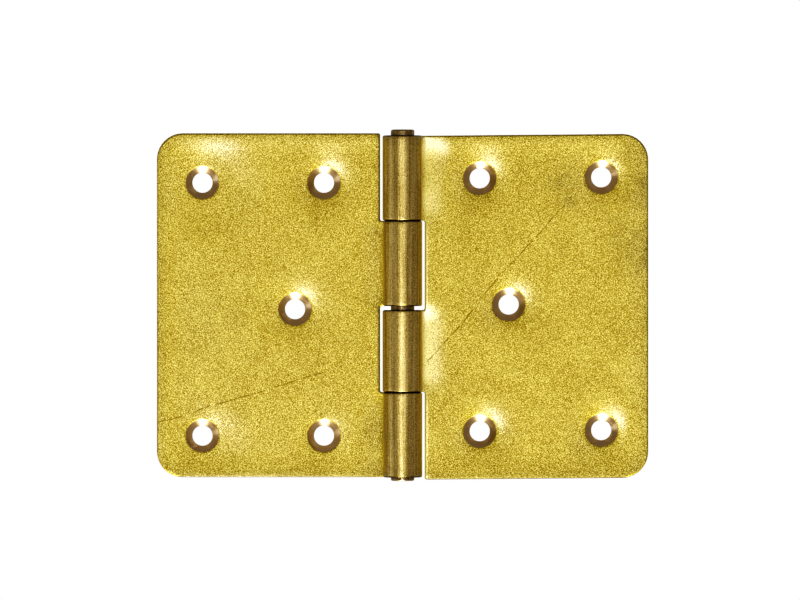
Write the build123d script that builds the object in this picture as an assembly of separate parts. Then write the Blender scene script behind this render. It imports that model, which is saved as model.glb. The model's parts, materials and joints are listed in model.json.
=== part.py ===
"""Wide butt hinge, 70 mm long and 100 mm across when open, in yellow plated sheet steel.

Each leaf is one sheet: a rounded blank with two tabs that are rolled up over its front into knuckles for
the pin. The leaves are cut alike and one of them is turned end for end, so that their knuckles alternate
along the pin. Only their inner knuckles differ a little in length.
The left leaf is rolled tight and grips the pin. The right leaf is rolled with a running clearance, and
swings on it.

The hinge lies open and flat on the backs of its leaves, at z = 0, with its countersinks upwards.
Y runs along the pin and X across the leaves. The origin is under the middle of the pin.
All lengths are in millimetres.
"""

import os
from math import asin, degrees, radians, tan

from build123d import *

# Sheet and leaf
leaf_length = 70.0  # along the pin
leaf_reach = 50.0  # from the pin's axis to the free edge
sheet_thickness = 1.6
free_corner_radius = 5.3
edge_break = 0.4  # left by tumbling before the plating, round both faces of the sheet

# Pin
pin_diameter = 4.8
pin_stand_out = 0.7  # past the ends of the leaf that grips it
pin_chamfer = 0.35

# Knuckles
left_inner_knuckle = 17.25  # the knuckle that stands between two of the other leaf's
right_inner_knuckle = 16.6
end_play = 1.0  # how much longer the slot round an inner knuckle is
flush_gap = 0.7  # beside an end knuckle, when the ends of the two leaves are flush
end_float = 0.5  # how far the right leaf has slid down the pin
running_clearance = 0.08  # round the pin, in the knuckles that swing
root_gap = 0.5  # between a knuckle and the root of the slot that it turns in
slot_corner_radius = 0.4
seam_gap = 0.2  # between the end of the roll and the front of the leaf

# Screw holes
hole_diameter = 4.1
countersink_diameter = 6.8
countersink_angle = 90.0
outer_pair_margin = 9.5  # from the free edge
pair_spacing = 24.75  # from the outer pair to the pair beside the pin
middle_hole_spacing = 5.9  # from the pair beside the pin to the single hole, further out
knuckle_end_margin = 8.6  # holes to the end of the leaf that has the end knuckle
slot_end_margin = 9.9  # holes to the end of the leaf that is cut away

# How far each leaf's holes were punched off their place, away from the pin and towards the end knuckle
left_punch_offset = (0.25, 0.15)
right_punch_offset = (-0.05, -0.15)

# What follows from those sizes
pin_radius = pin_diameter / 2
pin_length = leaf_length + 2 * pin_stand_out
tight_bore = pin_radius
running_bore = pin_radius + running_clearance
end_knuckle = (leaf_length - left_inner_knuckle - right_inner_knuckle - end_play - flush_gap) / 2
pin_height = running_bore + sheet_thickness  # the larger barrel lies level with its leaf, on z = 0
countersink_depth = (countersink_diameter - hole_diameter) / 2 / tan(radians(countersink_angle / 2))


def rolled_sheet(bore):
    """The sheet after rolling, uncut: seen along the pin, it is a flat tail and a roll round the origin."""
    barrel = bore + sheet_thickness
    closing = 180 + degrees(asin((bore - seam_gap) / barrel))
    outer = CenterArc((0, 0), barrel, -90, 90 + closing)
    inner = CenterArc((0, 0), bore, -90, 90 + closing)
    strip = 2 * leaf_reach
    tail = Polyline((0, -bore), (-strip, -bore), (-strip, -barrel), (0, -barrel))
    section = make_face([tail, outer, Line(outer @ 1, inner @ 1), inner])
    return extrude(Plane.XZ * section, leaf_length, both=True)


def blank_outline(barrel, inner_knuckle, mating_barrel, mating_knuckle):
    """The left leaf from its front: rounded free corners, two tabs, and slots for the other's knuckles."""
    end = leaf_length / 2
    root = -(mating_barrel + root_gap)
    slot_start = end_knuckle - end
    slot_end = slot_start + mating_knuckle + end_play
    tab_end = slot_end + inner_knuckle
    tip = barrel + root_gap
    steps = [(root, -end), (tip, -end), (tip, slot_start), (root, slot_start), (root, slot_end)]
    steps += [(tip, slot_end), (tip, tab_end), (root, tab_end), (root, end)]
    steps += [(-leaf_reach, end), (-leaf_reach, -end)]
    outline = make_face(Polyline(*steps, close=True))

    free_corners = outline.vertices().group_by(Axis.X)[0]
    outline = fillet(free_corners, free_corner_radius)
    inside = end - slot_corner_radius
    slot_corners = [v for v in outline.vertices() if abs(v.X - root) < 1e-6 and abs(v.Y) < inside]
    return fillet(slot_corners, slot_corner_radius)


def screw_hole(face_height):
    """The space of one screw: a clear hole and the countersink for its head, opening on the leaf's front."""
    above = 1.0
    head_radius = countersink_diameter / 2
    flare = above * tan(radians(countersink_angle / 2))
    shank = Cylinder(hole_diameter / 2, 3 * sheet_thickness)
    head = Cone(
        hole_diameter / 2,
        head_radius + flare,
        countersink_depth + above,
        align=(Align.CENTER, Align.CENTER, Align.MIN),
    )
    return Pos(0, 0, face_height) * (shank + Pos(0, 0, -countersink_depth) * head)


def hole_places(punch_offset):
    """Where the left leaf is punched: two pairs in a rectangle, and one hole between the inner pair."""
    outer = outer_pair_margin - leaf_reach - punch_offset[0]
    inner = outer + pair_spacing
    low = knuckle_end_margin - leaf_length / 2 - punch_offset[1]
    high = leaf_length / 2 - slot_end_margin - punch_offset[1]
    corners = [(outer, low), (inner, low), (outer, high), (inner, high)]
    return corners + [(inner - middle_hole_spacing, (low + high) / 2)]


def sheared_edges(leaf, bore):
    """The edges round both faces of the sheet, but not those through it or along the end of the roll."""
    faces = (-bore, -bore - sheet_thickness)
    return [
        edge
        for edge in leaf.edges()
        if edge.geom_type != GeomType.LINE or any(abs(edge.center().Z - face) < 1e-6 for face in faces)
    ]


def make_leaf(bore, inner_knuckle, mating_barrel, mating_knuckle, punch_offset):
    """One leaf, in the place of the left one, with the pin's axis on Y."""
    barrel = bore + sheet_thickness
    outline = blank_outline(barrel, inner_knuckle, mating_barrel, mating_knuckle)
    leaf = rolled_sheet(bore) & extrude(outline, 2 * barrel, both=True)
    leaf = chamfer(sheared_edges(leaf, bore), edge_break)
    for x, y in hole_places(punch_offset):
        leaf -= Pos(x, y, 0) * screw_hole(-bore)
    return leaf


def make_pin():
    """A length of plain wire with its ends broken, lying along Y."""
    pin = Rot(90, 0, 0) * Cylinder(pin_radius, pin_length)
    return chamfer(pin.edges().filter_by(GeomType.CIRCLE), pin_chamfer)


lift = Pos(0, 0, pin_height)
turned = Rot(0, 0, 180)
slid = Pos(0, -end_float, 0)
tight_barrel = tight_bore + sheet_thickness
running_barrel = running_bore + sheet_thickness

left_stamping = make_leaf(
    tight_bore, left_inner_knuckle, running_barrel, right_inner_knuckle, left_punch_offset
)
right_stamping = make_leaf(
    running_bore, right_inner_knuckle, tight_barrel, left_inner_knuckle, right_punch_offset
)

parts = {
    "left_leaf": lift * left_stamping,
    "right_leaf": slid * lift * turned * right_stamping,
    "pin": lift * make_pin(),
}

os.makedirs("parts", exist_ok=True)
for name, part in parts.items():
    export_step(part, f"parts/{name}.step")
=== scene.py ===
import json
import math
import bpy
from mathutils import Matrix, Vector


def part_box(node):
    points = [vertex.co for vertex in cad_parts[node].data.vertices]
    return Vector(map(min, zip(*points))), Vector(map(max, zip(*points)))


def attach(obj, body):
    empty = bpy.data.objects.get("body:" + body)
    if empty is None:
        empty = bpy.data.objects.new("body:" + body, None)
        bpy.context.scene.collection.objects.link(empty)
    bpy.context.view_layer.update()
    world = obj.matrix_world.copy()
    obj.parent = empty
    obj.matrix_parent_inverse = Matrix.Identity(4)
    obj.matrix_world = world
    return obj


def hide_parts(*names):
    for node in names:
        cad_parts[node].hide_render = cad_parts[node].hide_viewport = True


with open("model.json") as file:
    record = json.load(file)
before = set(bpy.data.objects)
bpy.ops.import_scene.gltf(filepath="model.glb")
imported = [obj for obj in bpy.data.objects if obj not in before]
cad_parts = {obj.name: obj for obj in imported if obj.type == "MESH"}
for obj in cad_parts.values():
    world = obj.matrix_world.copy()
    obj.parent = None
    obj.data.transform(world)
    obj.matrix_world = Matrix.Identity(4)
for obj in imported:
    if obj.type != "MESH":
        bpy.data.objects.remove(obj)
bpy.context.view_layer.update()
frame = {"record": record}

from types import SimpleNamespace

import bmesh
import bpy
from mathutils import Matrix, Vector, noise

# A butt hinge of yellow plated sheet steel, lying open on the backs of its leaves.
# Y runs along the pin, X across the leaves and Z out of their fronts.
mounts = {mount["name"]: mount for mount in frame["record"]["mounts"]}

# Shapes are worked out in millimetres, and each finished mesh is brought to metres
perMetre = 1000.0
sharpTurn = math.radians(50)  # an edge where the faces turn more than this gets rounded


def nodeBox(node):
    low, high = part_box(node)
    return low * perMetre, high * perMetre


pinLow, pinHigh = nodeBox("pin")
pinRadius = (pinHigh.x - pinLow.x) / 2
pinHeight = (pinHigh.z + pinLow.z) / 2


def smoothStep(low, high, value):
    share = min(max((value - low) / (high - low), 0.0), 1.0)
    return share * share * (3 - 2 * share)


def finishedPiece(bm, name, body, standsFor, material):
    bmesh.ops.recalc_face_normals(bm, faces=bm.faces[:])
    bmesh.ops.scale(bm, vec=(1 / perMetre,) * 3, verts=bm.verts[:])
    for face in bm.faces:
        face.smooth = True
    mesh = bpy.data.meshes.new(name)
    bm.to_mesh(mesh)
    bm.free()
    mesh.materials.append(material)
    piece = bpy.data.objects.new(name, mesh)
    bpy.context.scene.collection.objects.link(piece)
    weighted = piece.modifiers.new("flatNormals", "WEIGHTED_NORMAL")
    weighted.mode = "FACE_AREA"
    weighted.weight = 50
    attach(piece, body)
    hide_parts(standsFor)
    print(name, "has", len(mesh.polygons), "faces")


# Shader nodes


def plainColour(red, green, blue):
    # A colour as a screen shows it, from 0 to 255, turned into light
    shares = [value / 255 for value in (red, green, blue)]
    light = [share / 12.92 if share < 0.04045 else ((share + 0.055) / 1.055) ** 2.4 for share in shares]
    return (*light, 1.0)


def addNode(tree, kind, inputs=None, **settings):
    # Each input is another node's socket or a plain value
    made = tree.nodes.new("ShaderNode" + kind)
    for name, value in settings.items():
        setattr(made, name, value)
    for name, value in (inputs or {}).items():
        if isinstance(value, bpy.types.NodeSocket):
            tree.links.new(value, made.inputs[name])
        else:
            made.inputs[name].default_value = value
    return made


def maths(tree, operation, first, second, third=0.0):
    return addNode(tree, "Math", {0: first, 1: second, 2: third}, operation=operation).outputs[0]


def vectorMaths(tree, operation, first, second, output="Vector"):
    return addNode(tree, "VectorMath", {0: first, 1: second}, operation=operation).outputs[output]


def scaled(tree, vector, factor):
    return addNode(tree, "VectorMath", {0: vector, "Scale": factor}, operation="SCALE").outputs["Vector"]


def rise(tree, value, low, high, bottom=0.0, top=1.0):
    # Goes smoothly from bottom to top while the value goes from low to high
    ends = {"Value": value, "From Min": low, "From Max": high, "To Min": bottom, "To Max": top}
    return addNode(tree, "MapRange", ends, interpolation_type="SMOOTHSTEP").outputs["Result"]


def swing(tree, pattern, contrast):
    # Turns a pattern from 0 to 1 into one that swings to both sides of 0
    return maths(tree, "MULTIPLY_ADD", pattern, contrast, -contrast / 2)


def mixedValue(tree, share, first, second):
    return addNode(tree, "Mix", {0: share, 2: first, 3: second}).outputs[0]


def mixedColour(tree, share, first, second):
    return addNode(tree, "Mix", {0: share, 6: first, 7: second}, data_type="RGBA").outputs[2]


def toneRamp(tree, value, tones):
    made = addNode(tree, "ValToRGB", {"Fac": value})
    stops = made.color_ramp.elements
    stops[0].position, stops[1].position = tones[0][0], tones[-1][0]
    stops[0].color, stops[1].color = plainColour(*tones[0][1]), plainColour(*tones[-1][1])
    for position, colour in tones[1:-1]:
        stops.new(position).color = plainColour(*colour)
    return made.outputs["Color"]


def placeInMillimetres(tree, tilt=(0.0, 0.0, 0.0)):
    place = addNode(tree, "TexCoord").outputs["Object"]
    return addNode(tree, "Mapping", {"Vector": place, "Rotation": tilt, "Scale": (perMetre,) * 3}).outputs[0]


def newGroup(name, inputs, outputs):
    tree = bpy.data.node_groups.new(name, "ShaderNodeTree")
    for socketName, kind, value in inputs:
        socket = tree.interface.new_socket(socketName, in_out="INPUT", socket_type="NodeSocket" + kind)
        socket.default_value = value
    for socketName in outputs:
        tree.interface.new_socket(socketName, in_out="OUTPUT", socket_type="NodeSocketFloat")
    return tree, tree.nodes.new("NodeGroupInput").outputs, tree.nodes.new("NodeGroupOutput").inputs


def placeGroup(tree, group, **values):
    made = tree.nodes.new("ShaderNodeGroup")
    made.node_tree = group
    for name, value in values.items():
        made.inputs[name].default_value = value
    return made.outputs


# Effects that the finishes share


def makeGrain():
    # Fine grains of the plating over soft patches of it
    inputs = [("Grain", "Float", 0.3), ("Patch", "Float", 9.0)]
    tree, takes, gives = newGroup("platingGrain", inputs, ["Tone", "Patches"])
    place = placeInMillimetres(tree, tilt=(0.5, 0.3, 0.8))  # so that no grains line up with an edge
    fine = maths(tree, "DIVIDE", 1.0, takes["Grain"])
    soft = maths(tree, "DIVIDE", 1.0, takes["Patch"])
    grain = addNode(tree, "TexNoise", {"Vector": place, "Scale": fine, "Detail": 1.0, "Roughness": 0.6})
    patches = addNode(tree, "TexNoise", {"Vector": place, "Scale": soft, "Detail": 3.0, "Roughness": 0.55})
    tree.links.new(grain.outputs[0], gives["Tone"])
    tree.links.new(patches.outputs[0], gives["Patches"])
    return tree


def makeStreaks():
    # Lines that the rolling die drew along the knuckles
    inputs = [("Width", "Float", 0.15), ("Length", "Float", 12.0)]
    tree, takes, gives = newGroup("dieStreaks", inputs, ["Tone"])
    across = maths(tree, "DIVIDE", 1.0, takes["Width"])
    along = maths(tree, "DIVIDE", 1.0, takes["Length"])
    scale = addNode(tree, "CombineXYZ", {"X": across, "Y": along, "Z": across}).outputs[0]
    drawn = vectorMaths(tree, "MULTIPLY", placeInMillimetres(tree), scale)
    streaks = addNode(tree, "TexNoise", {"Vector": drawn, "Scale": 1.0, "Detail": 2.0})
    tree.links.new(streaks.outputs[0], gives["Tone"])
    return tree


def makeScratch():
    # One scratch from place to place on a front, wavering and broken here and there
    inputs = [
        ("From", "Vector", (0.0, 0.0, 0.0)),
        ("To", "Vector", (1.0, 0.0, 0.0)),
        ("Width", "Float", 0.2),
        ("Waver", "Float", 0.3),
        ("Above", "Float", 0.8),
    ]
    tree, takes, gives = newGroup("frontScratch", inputs, ["Mask"])
    place = placeInMillimetres(tree)
    waves = addNode(tree, "TexNoise", {"Vector": place, "Scale": 0.16, "Detail": 2.0}).outputs["Color"]
    shift = scaled(tree, vectorMaths(tree, "SUBTRACT", waves, (0.5, 0.5, 0.5)), takes["Waver"])
    onFront = vectorMaths(tree, "MULTIPLY", vectorMaths(tree, "ADD", place, shift), (1.0, 1.0, 0.0))

    fromStart = vectorMaths(tree, "SUBTRACT", onFront, takes["From"])
    whole = vectorMaths(tree, "SUBTRACT", takes["To"], takes["From"])
    along = vectorMaths(tree, "DOT_PRODUCT", fromStart, whole, output="Value")
    square = vectorMaths(tree, "DOT_PRODUCT", whole, whole, output="Value")
    share = addNode(tree, "Math", {0: along, 1: square}, operation="DIVIDE", use_clamp=True).outputs[0]
    away = vectorMaths(tree, "DISTANCE", fromStart, scaled(tree, whole, share), output="Value")
    line = rise(tree, away, 0.0, takes["Width"], 1.0, 0.0)

    broken = addNode(tree, "TexNoise", {"Vector": place, "Scale": 0.5, "Detail": 2.0}).outputs[0]
    line = maths(tree, "MULTIPLY", line, rise(tree, broken, 0.35, 0.55))
    height = addNode(tree, "SeparateXYZ", {0: place}).outputs["Z"]
    notOnBack = rise(tree, height, takes["Above"], maths(tree, "ADD", takes["Above"], 0.4))
    tree.links.new(maths(tree, "MULTIPLY", line, notOnBack), gives["Mask"])
    return tree


grainGroup = makeGrain()
streakGroup = makeStreaks()
scratchGroup = makeScratch()
print("shared effects made")


# Plated steel

platingSettings = {
    "grain": 0.2,
    "grainContrast": 3.3,
    "grainOnBarrel": 0.8,
    "grainDepth": 0.00004,  # in metres
    "patch": 9.0,
    "patchContrast": 0.3,
    "streakWidth": 0.45,
    "streakLength": 30.0,
    "streakContrast": 1.7,
    # The plating's colours from its darkest specks to its brightest
    "frontTones": [(0.0, (128, 108, 0)), (0.5, (180, 160, 38)), (1.0, (240, 226, 124))],
    "barrelTones": [(0.0, (140, 119, 56)), (0.5, (188, 166, 90)), (1.0, (224, 206, 132))],
    "sinkTones": [(0.0, (155, 132, 94)), (0.5, (176, 152, 108)), (1.0, (196, 172, 124))],
    "pinTones": [(0.0, (106, 88, 48)), (0.5, (136, 116, 68)), (1.0, (166, 146, 92))],
    # the dark brown of the painted shade and of the stains
    "shadeAndStainColour": (45, 32, 12),
    "leafRoughness": 0.6,
    "barrelRoughness": 0.32,
    "sinkRoughness": 0.32,
    "sinkBump": 0.15,  # the countersinks were cut, so little of the grain's relief is left there
    "sinkEdge": (0.02, 0.15),  # depths between which the front's finish gives way to the countersink's
    "barrelEdge": (1.75, 2.6),  # heights between which the front's finish gives way to the barrel's
    "coatIor": 1.9,
    "coatRoughness": 0.22,
    "leafCoat": 0.44,
    "highlightCoat": 0.7,  # where a highlight is painted on the front
    # how much the painted highlight lifts the tone
    "paintedHighlightTone": 0.17,
    "barrelCoat": 0.6,
    "sinkCoat": 1.0,
    "coatOnTones": (0.4, 1.6),  # dark specks shine less than bright ones
}


def platedSteel(name, turnedTones, scratches=()):
    plating = platingSettings
    material = bpy.data.materials.new(name)
    material.use_nodes = True
    tree = material.node_tree
    shader = tree.nodes["Principled BSDF"]
    shader.inputs["Metallic"].default_value = 1.0
    shader.inputs["Coat IOR"].default_value = plating["coatIor"]
    shader.inputs["Coat Roughness"].default_value = plating["coatRoughness"]

    # Where on the piece: on the barrel, in a countersink, where a highlight is painted, and where shade and
    # stains are painted
    height = addNode(tree, "SeparateXYZ", {0: placeInMillimetres(tree)}).outputs["Z"]
    barrel = rise(tree, height, *plating["barrelEdge"])
    depth = addNode(tree, "Attribute", attribute_name="sink").outputs["Fac"]
    sunk = rise(tree, depth, *plating["sinkEdge"])
    paintedHighlight = addNode(tree, "Attribute", attribute_name="paintedHighlight").outputs["Fac"]
    paintedShadeAndStains = addNode(tree, "Attribute", attribute_name="paintedShadeAndStains").outputs["Fac"]

    # How bright each speck of the plating is, with 0.5 as the middle
    grain = placeGroup(tree, grainGroup, Grain=plating["grain"], Patch=plating["patch"])
    streaks = placeGroup(tree, streakGroup, Width=plating["streakWidth"], Length=plating["streakLength"])
    specks = swing(tree, grain["Tone"], plating["grainContrast"])
    even = maths(tree, "ADD", swing(tree, grain["Patches"], plating["patchContrast"]), 0.5)
    lines = swing(tree, streaks["Tone"], plating["streakContrast"])
    onBarrel = rise(tree, barrel, 0.0, 1.0, 1.0, plating["grainOnBarrel"])
    tone = maths(tree, "MULTIPLY_ADD", specks, onBarrel, even)
    tone = maths(tree, "MULTIPLY_ADD", lines, barrel, tone)
    # painted highlight: the tone is lifted on slopes that face the main light, and beside the right leaf's
    # knuckles and at its slot roots
    tone = maths(tree, "MULTIPLY_ADD", paintedHighlight, plating["paintedHighlightTone"], tone)
    for scratch in scratches:
        line = placeGroup(
            tree, scratchGroup, From=(*scratch["from"], 0.0), To=(*scratch["to"], 0.0),
            Width=scratch["width"], Waver=scratch["waver"],
        )
        tone = maths(tree, "MULTIPLY_ADD", line["Mask"], -scratch["dark"], tone)

    colour = toneRamp(tree, tone, plating["frontTones"])
    colour = mixedColour(tree, barrel, colour, toneRamp(tree, tone, turnedTones))
    colour = mixedColour(tree, sunk, colour, toneRamp(tree, even, plating["sinkTones"]))
    # painted shade and stains pull the colour towards dark brown
    colour = mixedColour(tree, paintedShadeAndStains, colour, plainColour(*plating["shadeAndStainColour"]))
    tree.links.new(colour, shader.inputs["Base Color"])

    rough = rise(tree, barrel, 0.0, 1.0, plating["leafRoughness"], plating["barrelRoughness"])
    rough = mixedValue(tree, sunk, rough, plating["sinkRoughness"])
    tree.links.new(rough, shader.inputs["Roughness"])

    coat = rise(tree, paintedHighlight, 0.0, 1.0, plating["leafCoat"], plating["highlightCoat"])
    coat = mixedValue(tree, barrel, coat, plating["barrelCoat"])
    coat = maths(tree, "MULTIPLY", coat, rise(tree, tone, 0.0, 1.0, *plating["coatOnTones"]))
    coat = mixedValue(tree, sunk, coat, plating["sinkCoat"])
    coat = maths(tree, "MULTIPLY", coat, maths(tree, "SUBTRACT", 1.0, paintedShadeAndStains))
    tree.links.new(coat, shader.inputs["Coat Weight"])

    relief = rise(tree, sunk, 0.0, 1.0, 1.0, plating["sinkBump"])
    uneven = maths(tree, "MULTIPLY", grain["Tone"], relief)
    bump = addNode(tree, "Bump", {"Height": uneven, "Distance": plating["grainDepth"]})
    tree.links.new(bump.outputs["Normal"], shader.inputs["Normal"])
    print(name, "finish made")
    return material


# Leaves

# Places are on X and Y in the hinge. A reach is a distance from an edge, a hole or a middle, and a
# pair of distances or slopes is where an effect starts and where it ends
leafSettings = {
    "thickness": 1.6,
    "innerKnuckle": {"left": 17.25, "right": 16.6},
    "endPlay": 1.0,
    "flushGap": 0.7,
    "seated": 0.09,  # how much nearer two knuckles lie that have worn to each other
    "rootGap": 0.5,  # from the other leaf's knuckle to the root of the slot
    "seamGap": 0.2,  # from the end of the roll to the leaf's front
    "rollSteps": 60,
    "lean": {"left": 0.0, "right": 0.5},  # degrees that the blank was sheared out of square
    # The sheet and its outline
    "cell": 0.75,
    "freeCorner": 5.3,
    "cornerCells": 5,
    "slotCorner": 0.4,
    "slotCornerSteps": 4,
    "edgeRound": 0.4,
    "edgeSteps": 4,
    # Countersunk holes
    "holePatch": 5.2,  # half the square of the sheet that each hole's rings replace
    "patchRings": 4,
    "countersinkRadius": 3.4,
    "rimRound": 0.2,
    "rimSteps": 3,
    "footRound": 0.06,
    # How far the front is from flat
    "dentDepth": 0.3,  # of a dimple round a hole, and of the deepest dent
    "dimpleReach": 7.0,
    "dimples": {"left": [0.35, 0.8, 0.3, 0.9, 0.75], "right": [0.95, 0.9, 1.0, 0.7, 0.8]},
    "dents": {  # each one's middle, where it starts to rise, where it ends, and its share of the depth
        "left": [((-39.4, 23.6), 4.0, 12.0, 0.75), ((-37.7, -28.2), 1.0, 8.0, 0.35)],
        "right": [((3.0, 30.0), 0.0, 8.0, 0.8)],
    },
    "rootSink": 0.32,  # towards the leaf's own knuckles
    "rootSinkReach": 6.0,
    "rootSinkBlend": 2.5,  # to each side of a knuckle's end
    "endLift": 0.13,  # shearing left the two ends standing a little up
    "freeEdgeLift": {"left": 0.1, "right": -0.12},
    "liftReach": 4.5,
    "waveHeight": 0.035,
    "waveLength": 13.0,
    "rollFade": 2.5,  # from the pin's axis to where all of this is at its full depth
    # Painted highlight: slopes of the front that face the main light get a lighter tone and more coat
    "mainLightFrom": (-0.64, -0.77),
    "highlightSlopes": (0.02, 0.1),
    "rootHighlight": {"left": 0.0, "right": 2.5},  # painted highlight on the front beside its own knuckles
    # painted highlight on the rounding at the slot roots
    "slotHighlight": {"left": 0.0, "right": 4.0},
    # Painted shade and stains, and darkening towards the outline
    # painted shade at the slot roots
    "slotShade": {"left": 0.35, "right": 0.0},
    "slotReach": (0.25, 0.85),
    # darker towards the outline
    "outlineDarkening": 0.13,
    "edgeReach": (0.6, 2.4),
    "endShade": (0.84, 0.04),  # painted shade on the rounding of the lower end and of the upper end
    "roundingReach": (0.1, 0.45),
    "jointReach": (0.12, 0.34),  # from a knuckle's end to where its painted shade starts to thin out, and ends
    "rollHeights": (0.2, 1.0),  # above the front, where the joint's painted shade starts, and where it is whole
    "stains": {  # each one's middle, its reach and how dark it is; those beside the left leaf's own knuckles are painted shade, the others darker patches of the plating
        "left": [((-39.2, -1.4), 13.0, 0.1), ((-5.2, -25.4), 6.0, 0.2), ((-5.4, 16.3), 4.0, 0.2)],
        "right": [
            ((32.0, 24.4), 5.5, 0.24), ((33.4, 20.9), 3.0, 0.22), ((43.6, 15.0), 5.0, 0.14),
            ((48.6, 23.5), 7.0, 0.26), ((48.8, 10.0), 9.0, 0.22), ((46.8, 31.0), 4.0, 0.2),
        ],
    },
    "stainAndShadeGrain": 1.6,
}

scratchSettings = {
    "left": [
        {"from": (-49.8, -24.0), "to": (-12.5, -12.4), "width": 0.18, "waver": 1.2, "dark": 0.95},
        {"from": (-41.0, 16.3), "to": (-39.9, 14.0), "width": 0.14, "waver": 0.3, "dark": 0.6},
        {"from": (-31.0, 21.4), "to": (-29.0, 20.0), "width": 0.14, "waver": 0.3, "dark": 0.6},
    ],
    "right": [
        {"from": (5.0, -11.4), "to": (12.1, -3.8), "width": 0.22, "waver": 0.3, "dark": 0.9},
        {"from": (12.1, -3.8), "to": (16.8, 2.5), "width": 0.22, "waver": 0.3, "dark": 0.9},
        {"from": (16.8, 2.5), "to": (32.8, 20.2), "width": 0.18, "waver": 0.5, "dark": 0.85},
    ],
}


def holePlaces(side):
    corners = mounts[side + "_leaf_corner_screws"]
    middle = mounts[side + "_leaf_middle_screw"]
    centre = Vector(corners["pos_m"]) * perMetre
    across = corners["dims"]["spacing_x_mm"] / 2
    along = corners["dims"]["spacing_y_mm"] / 2
    places = [centre + Vector((i * across, j * along, 0)) for i in (-1, 1) for j in (-1, 1)]
    return places + [Vector(middle["pos_m"]) * perMetre], middle["dims"]["r_mm"]


def inLeaf(marks, toLeaf):
    # The middles of dents and stains are set in the hinge, and used in the leaf's own place
    return [((toLeaf @ Vector((*middle, 0))).xy, *rest) for middle, *rest in marks]


def leafPlan(side, turn):
    # A leaf is planned as the left one lies, with the pin's axis on Y
    low, high = nodeBox(side + "_leaf")
    other = {"left": "right", "right": "left"}[side]
    plan = SimpleNamespace(side=side, turn=turn)
    plan.halfLength = (high.y - low.y) / 2
    plan.reach = max(-low.x, high.x)
    plan.barrel = high.z - pinHeight
    plan.bore = plan.barrel - leafSettings["thickness"]
    plan.root = pinHeight - nodeBox(other + "_leaf")[1].z - leafSettings["rootGap"]

    ownKnuckle = leafSettings["innerKnuckle"][side]
    otherKnuckle = leafSettings["innerKnuckle"][other]
    endPlay, seated = leafSettings["endPlay"], leafSettings["seated"]
    endKnuckle = plan.halfLength - (ownKnuckle + otherKnuckle + endPlay + leafSettings["flushGap"]) / 2
    plan.firstEnd = endKnuckle - plan.halfLength + seated
    plan.slotEnd = plan.firstEnd - seated + otherKnuckle + endPlay
    plan.tabEnd = plan.slotEnd + ownKnuckle + seated
    plan.knuckles = [(-plan.halfLength, plan.firstEnd), (plan.slotEnd, plan.tabEnd)]
    plan.slots = [(plan.firstEnd, plan.slotEnd), (plan.tabEnd, plan.halfLength)]

    slid = Matrix.Translation((0, (high.y + low.y) / 2, pinHeight))
    plan.toWorld = slid @ Matrix.Rotation(turn, 4, "Z")
    toLeaf = plan.toWorld.inverted()
    holes, plan.holeRadius = holePlaces(side)
    plan.holes = [toLeaf @ hole for hole in holes]
    for hole in plan.holes:
        hole.z = -plan.bore
    plan.dents = inLeaf(leafSettings["dents"][side], toLeaf)
    plan.stains = inLeaf(leafSettings["stains"][side], toLeaf)
    return plan


def spacedLines(marks):
    lines = []
    for start, end in zip(marks, marks[1:]):
        count = max(1, round((end - start) / leafSettings["cell"]))
        if abs(end - start - leafSettings["freeCorner"]) < 1e-3:
            count = leafSettings["cornerCells"]
        lines += [start + (end - start) * i / count for i in range(count)]
    return lines + [marks[-1]]


def flatSheet(bm, plan):
    corner, half = leafSettings["freeCorner"], plan.halfLength
    columns = spacedLines([-plan.reach, corner - plan.reach, plan.root, 0.0])
    rows = spacedLines([-half, corner - half, plan.firstEnd, plan.slotEnd, plan.tabEnd, half - corner, half])
    acrossCount, alongCount = len(columns) - 1, len(rows) - 1
    bmesh.ops.create_grid(bm, x_segments=acrossCount, y_segments=alongCount, size=1.0)
    for vert in bm.verts:
        column = round((vert.co.x + 1) / 2 * acrossCount)
        row = round((vert.co.y + 1) / 2 * alongCount)
        vert.co = (columns[column], rows[row], -plan.bore)


def cutSlots(bm, plan):
    inSlots = []
    for face in bm.faces:
        middle = face.calc_center_median()
        if middle.x > plan.root and any(low < middle.y < high for low, high in plan.slots):
            inSlots.append(face)
    bmesh.ops.delete(bm, geom=inSlots, context="FACES")


def roundFreeCorners(bm, plan):
    # Each corner's square of cells is drawn in to a quarter of a disc
    radius = leafSettings["freeCorner"]
    for vert in bm.verts:
        out = (radius - plan.reach - vert.co.x) / radius
        up = (abs(vert.co.y) - plan.halfLength + radius) / radius
        if out > 0 and up > 0:
            vert.co.x = radius - plan.reach - radius * out * math.sqrt(1 - up * up / 2)
            along = plan.halfLength - radius + radius * up * math.sqrt(1 - out * out / 2)
            vert.co.y = math.copysign(along, vert.co.y)


def roundSlotCorners(bm, plan):
    for end in (plan.firstEnd, plan.slotEnd, plan.tabEnd):
        corner = min(bm.verts, key=lambda vert: (vert.co.xy - Vector((plan.root, end))).length)
        bmesh.ops.dissolve_faces(bm, faces=corner.link_faces[:])
        bmesh.ops.bevel(
            bm, geom=[corner], affect="VERTICES", offset=leafSettings["slotCorner"],
            segments=leafSettings["slotCornerSteps"], profile=0.5, material=-1,
        )


def sinkProfile(holeRadius):
    # Radius and depth of each ring, from the rim of the countersink to the foot of its cone
    rim, rimRound = leafSettings["countersinkRadius"], leafSettings["rimRound"]
    onCone = rimRound * math.sqrt(0.5)
    rings = []
    for step in range(leafSettings["rimSteps"] + 1):
        share = step / leafSettings["rimSteps"]
        start, end = (1 - share) ** 2, share ** 2
        middle = 1 - start - end
        rings.append((start * (rim + rimRound) + middle * rim + end * (rim - onCone), end * onCone))
    foot = holeRadius + leafSettings["footRound"]
    rings.append((foot, rim - foot))
    rings.append((holeRadius, rim - holeRadius + leafSettings["footRound"]))
    return rings


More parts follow.
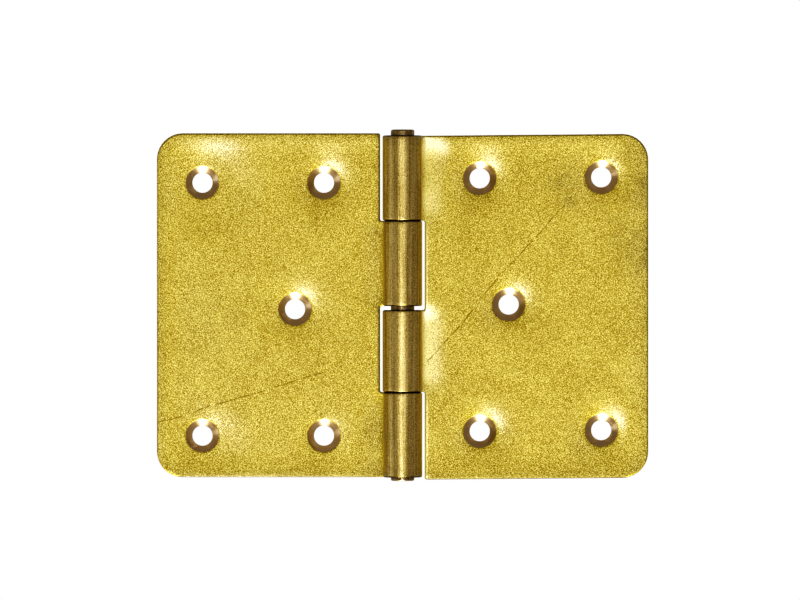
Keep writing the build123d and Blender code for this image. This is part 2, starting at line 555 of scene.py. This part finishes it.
def punchHole(bm, hole, holeRadius):
    # A square of the sheet makes room for rings that go from its border down the countersink
    depth = bm.verts.layers.float["sink"]
    inside = set()
    for face in bm.faces:
        offset = face.calc_center_median() - hole
        if max(abs(offset.x), abs(offset.y)) < leafSettings["holePatch"]:
            inside.add(face)
    border = [edge for face in inside for edge in face.edges if not set(edge.link_faces) <= inside]
    bmesh.ops.delete(bm, geom=list(inside), context="FACES")

    profile = sinkProfile(holeRadius)
    rings = [(profile[0][0], 0.0, 1 / count) for count in range(leafSettings["patchRings"], 0, -1)]
    rings += [(radius, drop, 1.0) for radius, drop in profile[1:]]
    for radius, drop, share in rings:
        grown = bmesh.ops.extrude_edge_only(bm, edges=border)["geom"]
        verts = [item for item in grown if isinstance(item, bmesh.types.BMVert)]
        edges = [item for item in grown if isinstance(item, bmesh.types.BMEdge)]
        border = [edge for edge in edges if set(edge.verts) <= set(verts)]
        for vert in verts:
            outward = (vert.co - hole).xy.normalized()
            vert.co.xy = vert.co.xy.lerp(hole.xy + outward * radius, share)
            vert[depth] = drop


def besideKnuckles(place, plan):
    # 1 at the root beside the leaf's own knuckles, and less the further out on the front
    toRoot = max(1 - (plan.root - place.x) / leafSettings["rootSinkReach"], 0.0)
    blend = leafSettings["rootSinkBlend"]
    share = 0.0
    for low, high in plan.knuckles:
        pastLow = smoothStep(low - blend, low + blend, place.y)
        pastHigh = smoothStep(high - blend, high + blend, place.y)
        share += pastLow * (1 - pastHigh) * toRoot ** 2
    return share


def frontRelief(place, plan):
    # How far punching, rolling and handling left the front below a true flat
    flat = 1.0
    for hole, share in zip(plan.holes, leafSettings["dimples"][plan.side]):
        away = (place.xy - hole.xy).length - leafSettings["countersinkRadius"]
        flat *= 1 - share * (1 - min(max(away / leafSettings["dimpleReach"], 0.0), 1.0)) ** 3
    for middle, start, end, share in plan.dents:
        flat *= 1 - share * (1 - smoothStep(start, end, (place.xy - middle).length))
    sunk = leafSettings["dentDepth"] * (1 - flat)
    sunk += leafSettings["rootSink"] * besideKnuckles(place, plan)
    toEnd, toFreeEdge = plan.halfLength - abs(place.y), place.x + plan.reach
    freeEdgeLift = leafSettings["freeEdgeLift"][plan.side]
    sunk -= leafSettings["endLift"] * (1 - smoothStep(0, leafSettings["liftReach"], toEnd))
    sunk -= freeEdgeLift * (1 - smoothStep(0, leafSettings["liftReach"], toFreeEdge))
    sunk += leafSettings["waveHeight"] * noise.noise(place / leafSettings["waveLength"])
    return sunk * smoothStep(0, leafSettings["rollFade"], -place.x)


def paintedHighlightOf(place, plan):
    # Painted highlight: slopes of the front that face the main light, and the front beside the leaf's own
    # knuckles, get a lighter tone and more coat
    step = 0.25  # to each side of the place
    slope = []
    for aside in (Vector((step, 0, 0)), Vector((0, step, 0))):
        slope.append((frontRelief(place + aside, plan) - frontRelief(place - aside, plan)) / (2 * step))
    facing = Vector(slope).dot(Vector(leafSettings["mainLightFrom"])) * math.cos(plan.turn)
    nearKnuckles = min(besideKnuckles(place, plan), 1.0) * smoothStep(0, leafSettings["rollFade"], -place.x)
    return smoothStep(*leafSettings["highlightSlopes"], facing) + leafSettings["rootHighlight"][plan.side] * nearKnuckles


def thickenSheet(bm, plan):
    # Gives the sheet its back, then the front its sinks, its marks of making and use, and where its
    # highlight is painted
    depth, paintedHighlight = bm.verts.layers.float["sink"], bm.verts.layers.float["paintedHighlight"]
    front = bm.verts[:]
    grown = bmesh.ops.extrude_face_region(bm, geom=bm.faces[:], use_keep_orig=True)["geom"]
    back = [item for item in grown if isinstance(item, bmesh.types.BMVert)]
    bmesh.ops.translate(bm, vec=(0, 0, -leafSettings["thickness"]), verts=back)
    deepest = max(vert[depth] for vert in front)
    for vert in front:
        vert[paintedHighlight] = paintedHighlightOf(vert.co, plan)
        vert.co.z -= vert[depth] + frontRelief(vert.co, plan) * (1 - vert[depth] / deepest)
    return back


def rollKnuckles(bm, plan):
    tips = [face for face in bm.faces if min(vert.co.x for vert in face.verts) > -1e-4]
    ends = {item for face in tips for item in (face, *face.edges, *face.verts)}
    # Three quarters of a turn, and on until the end of the roll is down at the leaf's front
    sweep = math.pi * 1.5 + math.asin((plan.bore - leafSettings["seamGap"]) / plan.barrel)
    bmesh.ops.spin(
        bm, geom=list(ends), cent=(0, 0, 0), axis=(0, -1, 0), angle=sweep, steps=leafSettings["rollSteps"],
    )


def roundEdges(bm, back):
    depth = bm.verts.layers.float["sink"]
    sharp = []
    for edge in bm.edges:
        punched = all(vert[depth] > 0 for vert in edge.verts)
        if len(edge.link_faces) == 2 and not punched and edge.calc_face_angle() > sharpTurn:
            sharp.append(edge)
    for vert in back:
        vert[depth] = 0.0
    bmesh.ops.bevel(
        bm, geom=sharp, affect="EDGES", offset=leafSettings["edgeRound"],
        segments=leafSettings["edgeSteps"], profile=0.5, material=-1, clamp_overlap=False,
    )


def paintShadingAndStains(bm, plan):
    # Painted shade in the joints, on the lower ends and at the left leaf's slot roots, darkening towards the
    # outline, stains and patches of painted shade, and a painted highlight at the right leaf's slot roots
    paintedHighlight, paintedShadeAndStains = bm.verts.layers.float["paintedHighlight"], bm.verts.layers.float["paintedShadeAndStains"]
    corner = leafSettings["freeCorner"]
    knuckleEnds = [end for knuckle in plan.knuckles for end in knuckle]
    lowerShade, upperShade = leafSettings["endShade"]
    for vert in bm.verts:
        x, y, z = vert.co
        # darker towards the outline
        pastCornerX = max(corner - plan.reach - x, 0.0)
        pastCornerY = max(corner - plan.halfLength + abs(y), 0.0)
        toOutline = corner - math.hypot(pastCornerX, pastCornerY)
        darkening = leafSettings["outlineDarkening"] * (1 - smoothStep(*leafSettings["edgeReach"], toOutline))

        # painted shade on the end roundings, most of it on the lower end
        onRounding = 1 - smoothStep(*leafSettings["roundingReach"], plan.halfLength - abs(y))
        onFront = 1 - smoothStep(*leafSettings["roundingReach"], -plan.bore - z)
        endShade = upperShade if y * math.cos(plan.turn) > 0 else lowerShade
        darkening += endShade * onRounding * onFront

        # painted highlight and painted shade at the slot roots
        if x < plan.root + 0.01 and any(start < y < end for start, end in plan.slots):
            atRoot = 1 - smoothStep(*leafSettings["slotReach"], plan.root - x)
            vert[paintedHighlight] += leafSettings["slotHighlight"][plan.side] * atRoot
            darkening += leafSettings["slotShade"][plan.side] * atRoot

        # stains and patches of painted shade
        ragged = 0.75 + noise.noise(vert.co / leafSettings["stainAndShadeGrain"])
        for middle, reach, dark in plan.stains:
            darkening += dark * ragged * (1 - smoothStep(0.0, reach, (vert.co.xy - middle).length))

        # painted shade in the joints between the knuckles
        toJoint = min(abs(y - end) for end in knuckleEnds)
        onRoll = smoothStep(*leafSettings["rollHeights"], z + plan.bore)
        vert[paintedShadeAndStains] = max(darkening, onRoll * (1 - smoothStep(*leafSettings["jointReach"], toJoint)))


def leanLeaf(bm, plan):
    lean = math.tan(math.radians(leafSettings["lean"][plan.side]))
    for vert in bm.verts:
        vert.co.y += lean * (min(vert.co.x, plan.root) - plan.root)


def buildLeaf(side, turn, body, material):
    plan = leafPlan(side, turn)
    bm = bmesh.new()
    for name in ("sink", "paintedHighlight", "paintedShadeAndStains"):
        bm.verts.layers.float.new(name)
    flatSheet(bm, plan)
    cutSlots(bm, plan)
    roundFreeCorners(bm, plan)
    for hole in plan.holes:
        punchHole(bm, hole, plan.holeRadius)
    roundSlotCorners(bm, plan)
    back = thickenSheet(bm, plan)
    rollKnuckles(bm, plan)
    roundEdges(bm, back)
    paintShadingAndStains(bm, plan)
    leanLeaf(bm, plan)
    bmesh.ops.transform(bm, matrix=plan.toWorld, verts=bm.verts[:])
    finishedPiece(bm, side + "_leaf_plate", body, side + "_leaf", material)


for side, turn in (("left", 0.0), ("right", math.pi)):
    plating = platedSteel(side + "LeafPlating", platingSettings["barrelTones"], scratchSettings[side])
    buildLeaf(side, turn, side + "_side", plating)


# Pin

pinSettings = {
    "around": 64,
    "endRound": 0.35,
    "endSteps": 3,
}


def buildPin(material):
    bm = bmesh.new()
    bmesh.ops.create_cone(
        bm, cap_ends=True, segments=pinSettings["around"], radius1=pinRadius, radius2=pinRadius,
        depth=pinHigh.y - pinLow.y,
    )
    ends = [edge for edge in bm.edges if edge.calc_face_angle() > sharpTurn]
    bmesh.ops.bevel(
        bm, geom=ends, affect="EDGES", offset=pinSettings["endRound"],
        segments=pinSettings["endSteps"], profile=0.5, material=-1,
    )
    middle = Matrix.Translation((0, (pinHigh.y + pinLow.y) / 2, pinHeight))
    bmesh.ops.transform(bm, matrix=middle @ Matrix.Rotation(math.pi / 2, 4, "X"), verts=bm.verts[:])
    finishedPiece(bm, "pin_wire", "left_side", "pin", material)


buildPin(platedSteel("pinPlating", platingSettings["pinTones"]))


# Camera

cameraSettings = {
    "lens": 400.0,
    "sensor": 36.0,
    "wide": 0.1628,  # what the picture's width takes in at the leaves
    "aim": (-0.00053, 0.00106, 0.0016),
}

cameraData = bpy.data.cameras.new("camera")
cameraData.lens = cameraSettings["lens"]
cameraData.sensor_width = cameraSettings["sensor"]
camera = bpy.data.objects.new("camera", cameraData)
above = cameraSettings["wide"] * cameraSettings["lens"] / cameraSettings["sensor"]
camera.location = Vector(cameraSettings["aim"]) + Vector((0, 0, above))
bpy.context.scene.collection.objects.link(camera)
bpy.context.scene.camera = camera

# The camera's contrast: how much light the scene sends, and how much of it the picture shows
toeCurve = [(0.05, 0.015), (0.1, 0.05), (0.2, 0.145), (0.35, 0.32), (0.5, 0.5)]
film = bpy.context.scene.view_settings
film.view_transform = "Standard"
film.use_curve_mapping = True
for sent, shown in toeCurve:
    film.curve_mapping.curves[3].points.new(sent, shown)
film.curve_mapping.update()
print("camera stands", round(above, 2), "m above the leaves")


# Lights

# Each light's compass turn from the top of the picture, its height above the leaves, how wide and
# tall it looks from them, all in degrees, and its strength
lightSettings = {
    "main": {"turn": -140, "height": 78, "wide": 9, "tall": 9, "strength": 15.5, "shadow": False},
    "side": {"turn": -90, "height": 82, "wide": 14, "tall": 10, "strength": 1.0, "shadow": False},
    "top": {"turn": 88, "height": 80, "wide": 16, "tall": 12, "strength": 1.9, "shadow": False},
    "below": {"turn": 180, "height": 62, "wide": 9, "tall": 9, "strength": 20.0, "shadow": True},
    "near": {"turn": -177, "height": 15, "wide": 5, "tall": 22, "strength": 260.0, "shadow": True},
    "left": {"turn": -106, "height": 14, "wide": 20, "tall": 24, "strength": 1.6, "shadow": True},
}
lightDistance = 2.0

for name, values in lightSettings.items():
    turn, height = math.radians(values["turn"]), math.radians(values["height"])
    level = Vector((math.sin(turn), math.cos(turn), 0)) * math.cos(height)
    towards = level + Vector((0, 0, math.sin(height)))
    lamp = bpy.data.lights.new(name, "AREA")
    lamp.shape = "RECTANGLE"
    lamp.size = 2 * lightDistance * math.tan(math.radians(values["wide"] / 2))
    lamp.size_y = 2 * lightDistance * math.tan(math.radians(values["tall"] / 2))
    lamp.energy = values["strength"] * math.pi * lamp.size * lamp.size_y
    lamp.use_shadow = values["shadow"]
    light = bpy.data.objects.new(name, lamp)
    light.location = towards * lightDistance
    light.rotation_euler = towards.to_track_quat("Z", "Y").to_euler()
    light.visible_camera = False
    bpy.context.scene.collection.objects.link(light)
print(len(lightSettings), "lights placed")


# Studio and floor

studioSettings = {
    "surroundings": (0.36, 0.31, 0.27, 1),  # what the metal reflects
    "backdrop": (1, 1, 1, 1),  # what the camera sees
    "floorColour": (0.35, 0.35, 0.35, 1),
    "floorHeight": -0.052,  # clear of the leaf that swings furthest down
    "floorHalf": 2.0,
}

world = bpy.data.worlds.new("studio")
world.use_nodes = True
bpy.context.scene.world = world
tree = world.node_tree
surroundings = tree.nodes["Background"]
surroundings.inputs["Color"].default_value = studioSettings["surroundings"]
backdrop = addNode(tree, "Background", {"Color": studioSettings["backdrop"]})
seen = addNode(tree, "LightPath").outputs["Is Camera Ray"]
sky = addNode(tree, "MixShader", {0: seen, 1: surroundings.outputs[0], 2: backdrop.outputs[0]})
tree.links.new(sky.outputs[0], tree.nodes["World Output"].inputs["Surface"])

# The camera looks through the floor, and so does everything from below
floorMaterial = bpy.data.materials.new("floor")
floorMaterial.use_nodes = True
tree = floorMaterial.node_tree
tree.nodes.remove(tree.nodes["Principled BSDF"])
diffuse = addNode(tree, "BsdfDiffuse", {"Color": studioSettings["floorColour"]})
clear = addNode(tree, "BsdfTransparent")
seen = addNode(tree, "LightPath").outputs["Is Camera Ray"]
fromBelow = addNode(tree, "NewGeometry").outputs["Backfacing"]
hidden = maths(tree, "MAXIMUM", seen, fromBelow)
surface = addNode(tree, "MixShader", {0: hidden, 1: diffuse.outputs[0], 2: clear.outputs[0]})
tree.links.new(surface.outputs[0], tree.nodes["Material Output"].inputs["Surface"])

bm = bmesh.new()
bmesh.ops.create_grid(bm, x_segments=1, y_segments=1, size=studioSettings["floorHalf"])
floorMesh = bpy.data.meshes.new("floor")
bm.to_mesh(floorMesh)
bm.free()
floorMesh.materials.append(floorMaterial)
floor = bpy.data.objects.new("floor", floorMesh)
floor.location.z = studioSettings["floorHeight"]
bpy.context.scene.collection.objects.link(floor)
print("studio and floor ready")
